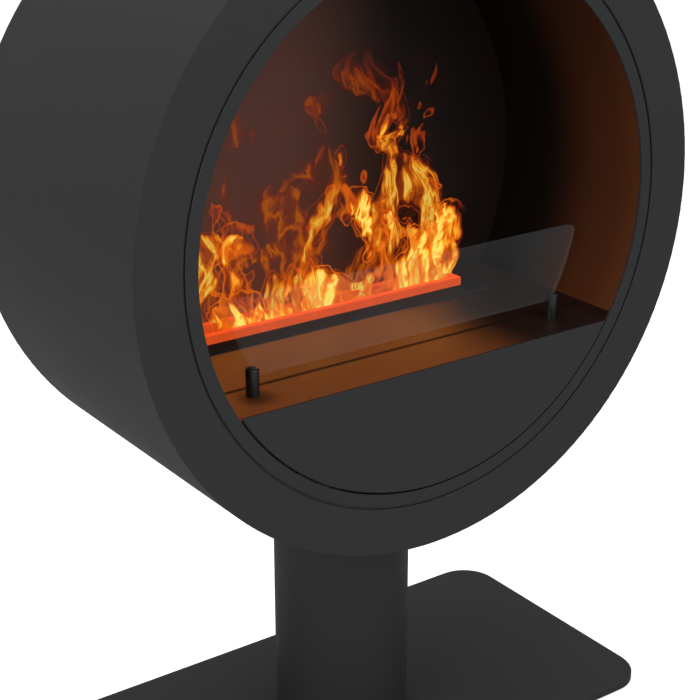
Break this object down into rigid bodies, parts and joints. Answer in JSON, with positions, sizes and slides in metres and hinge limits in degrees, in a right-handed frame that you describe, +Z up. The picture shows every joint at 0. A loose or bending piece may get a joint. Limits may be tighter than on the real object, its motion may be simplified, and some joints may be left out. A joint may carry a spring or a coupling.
{
  "type": "freestanding water vapour fireplace",
  "caption": "Round drum fireplace on a tube post and flat base plate, with an open firebox, a low glass screen and a vapour slot that shows mist flames.",
  "frame": {"origin": "on the floor under the middle of the base plate", "axes": "+X to the right seen from the front, +Y to the back, +Z up; the drum's opening faces -Y"},
  "size_m": [0.8, 0.4, 1.146],
  "materials": {
    "charcoal_paint": "satin charcoal powder coat",
    "black_paint": "satin black heat-stable paint",
    "deck_metal": "satin brown metal",
    "back_paint": "matt black powder coat",
    "zinc_steel": "zinc plated",
    "screw_steel": "blackened",
    "pad_rubber": "matt",
    "clear_glass": "clear, polished edges",
    "holder_metal": "satin black",
    "glow_diffuser": "satin orange diffuser, lit from inside",
    "black_plastic": "fine grain",
    "button_plastic": "satin",
    "fan_plastic": "matt",
    "tank_plastic": "milky",
    "float_plastic": "satin",
    "white_plastic": "satin",
    "brass_cap": "satin",
    "led_board": "white board with amber light points",
    "magnet_nickel": "nickel plated",
    "hose_rubber": "satin",
    "supply_aluminium": "brushed case"
  },
  "bodies": {
    "fireplace": {"back_flange": "zinc_steel", "back_panel": "back_paint", "back_screws": "screw_steel", "base_bolts": "screw_steel", "base_pads": "pad_rubber", "base_plate": "charcoal_paint", "control_box": "black_plastic", "deck_rail_left": "black_paint", "deck_rail_right": "black_paint", "drain_tap": "black_plastic", "drum_shell": "charcoal_paint", "fan_frame_left": "black_plastic", "fan_frame_right": "black_plastic", "fascia_catches": "zinc_steel", "feed_hose": "hose_rubber", "firebox_back": "black_paint", "firebox_liner": "black_paint", "float_stem": "white_plastic", "front_ledge": "deck_metal", "front_ring": "charcoal_paint", "glass_holder_left": "holder_metal", "glass_holder_right": "holder_metal", "glow_lip": "glow_diffuser", "holder_screws": "screw_steel", "insert_frame": "black_paint", "insert_housing": "zinc_steel", "insert_screws": "screw_steel", "led_strips": "led_board", "liner_standoffs": "zinc_steel", "lower_shelf": "zinc_steel", "mains_inlet": "black_plastic", "nozzle_plate": "black_plastic", "post_foot": "zinc_steel", "post_head": "zinc_steel", "post_tube": "charcoal_paint", "power_supply": "supply_aluminium", "rear_deck": "deck_metal", "ring_carrier": "black_paint", "saddle_block": "zinc_steel", "saddle_bolts": "screw_steel", "shelf_ribs": "zinc_steel", "sump_tray": "black_plastic", "switch_housing": "black_plastic", "tank_lid": "black_plastic", "transducers": "brass_cap", "trim_ring": "charcoal_paint", "water_tank": "tank_plastic"},
    "cover": {"fascia_cover": "charcoal_paint", "fascia_magnets": "magnet_nickel"},
    "glass": {"glass_pane": "clear_glass"},
    "rotor_left": {"fan_rotor_left": "fan_plastic"},
    "rotor_right": {"fan_rotor_right": "fan_plastic"},
    "lever": {"drain_lever": "white_plastic"},
    "float": {"tank_float": "float_plastic"},
    "cap": {"filler_cap": "black_plastic"},
    "button": {"standby_button": "button_plastic"},
    "rocker": {"rocker_switch": "button_plastic"}
  },
  "joints": [
    {"name": "cover_pull", "type": "slide", "parent": "fireplace", "child": "cover", "axis": [0, -1, 0], "range_m": [0, 0.15]},
    {"name": "glass_lift", "type": "slide", "parent": "fireplace", "child": "glass", "axis": [0, 0, 1], "range_m": [0, 0.12]},
    {"name": "rotor_left_spin", "type": "hinge", "parent": "fireplace", "child": "rotor_left", "pos_m": [-0.2345, 0.036, 0.5305], "axis": [1, 0, 0], "continuous": true},
    {"name": "rotor_right_spin", "type": "hinge", "parent": "fireplace", "child": "rotor_right", "pos_m": [0.2345, 0.036, 0.5305], "axis": [1, 0, 0], "continuous": true},
    {"name": "lever_turn", "type": "hinge", "parent": "fireplace", "child": "lever", "pos_m": [-0.11, -0.182, 0.461], "axis": [0, -1, 0], "range_deg": [0, 90]},
    {"name": "float_rise", "type": "slide", "parent": "fireplace", "child": "float", "axis": [0, 0, 1], "range_m": [0, 0.05]},
    {"name": "cap_lift", "type": "slide", "parent": "fireplace", "child": "cap", "axis": [0, 0, 1], "range_m": [0, 0.035]},
    {"name": "button_press", "type": "slide", "parent": "fireplace", "child": "button", "axis": [0, 1, 0], "range_m": [0, 0.003], "stiffness_N_per_m": 300},
    {"name": "rocker_tilt", "type": "hinge", "parent": "fireplace", "child": "rocker", "pos_m": [0.13, 0.192, 0.501], "axis": [0, 0, 1], "range_deg": [-14, 0]}
  ]
}
